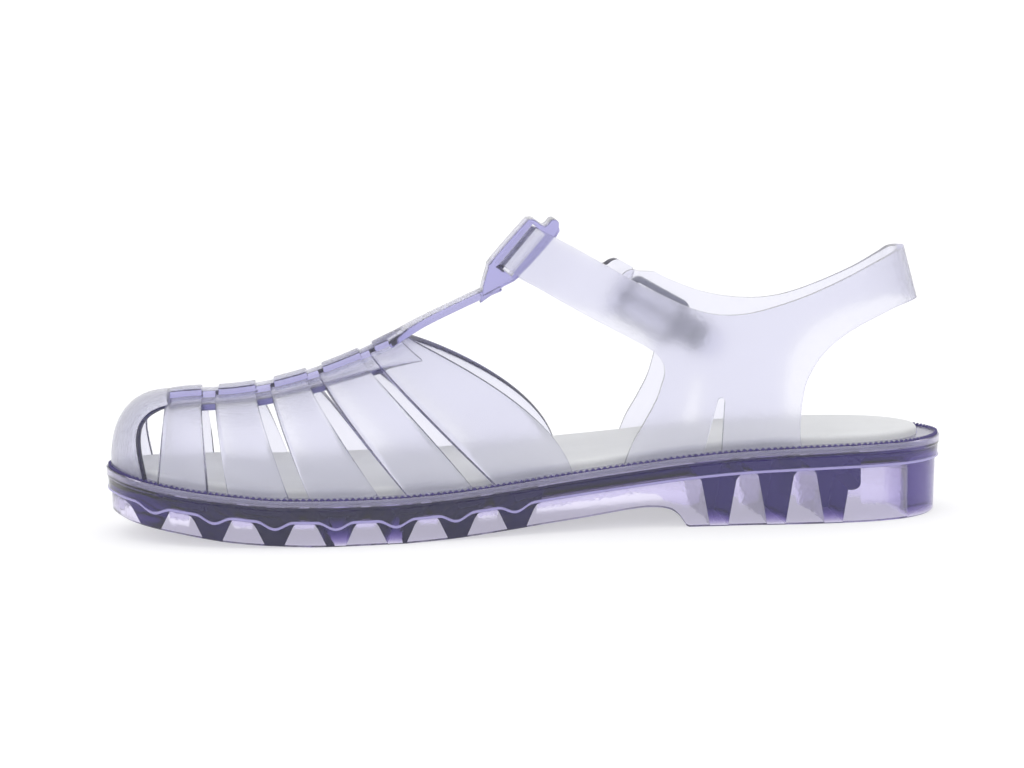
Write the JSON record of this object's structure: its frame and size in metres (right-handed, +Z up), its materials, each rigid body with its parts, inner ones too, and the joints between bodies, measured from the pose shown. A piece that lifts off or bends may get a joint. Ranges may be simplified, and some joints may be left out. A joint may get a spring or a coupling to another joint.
{
  "type": "jelly sandal",
  "caption": "Right jelly sandal in clear moulded PVC: woven bands over the foot, T-strap with a loop, buckled ankle strap and a ribbed hollow sole.",
  "frame": {"origin": "on the floor under the middle of the sole's length and width", "axes": "+X from toe to heel, +Y to the outer side of the right foot, +Z up"},
  "size_m": [0.25, 0.09, 0.09],
  "materials": {
    "sole_pvc": "clear lilac moulded PVC, dark where it is thick",
    "insole_foam": "padded off-white footbed",
    "upper_pvc": "clear pale lilac moulded PVC, slightly frosted",
    "buckle_metal": "plated mid grey metal"
  },
  "bodies": {
    "root": {"outsole": "sole_pvc", "insole": "insole_foam", "upper": "upper_pvc", "buckle_frame": "buckle_metal", "buckle_prong": "buckle_metal", "buckle_clip": "buckle_metal"}
  },
  "joints": []
}
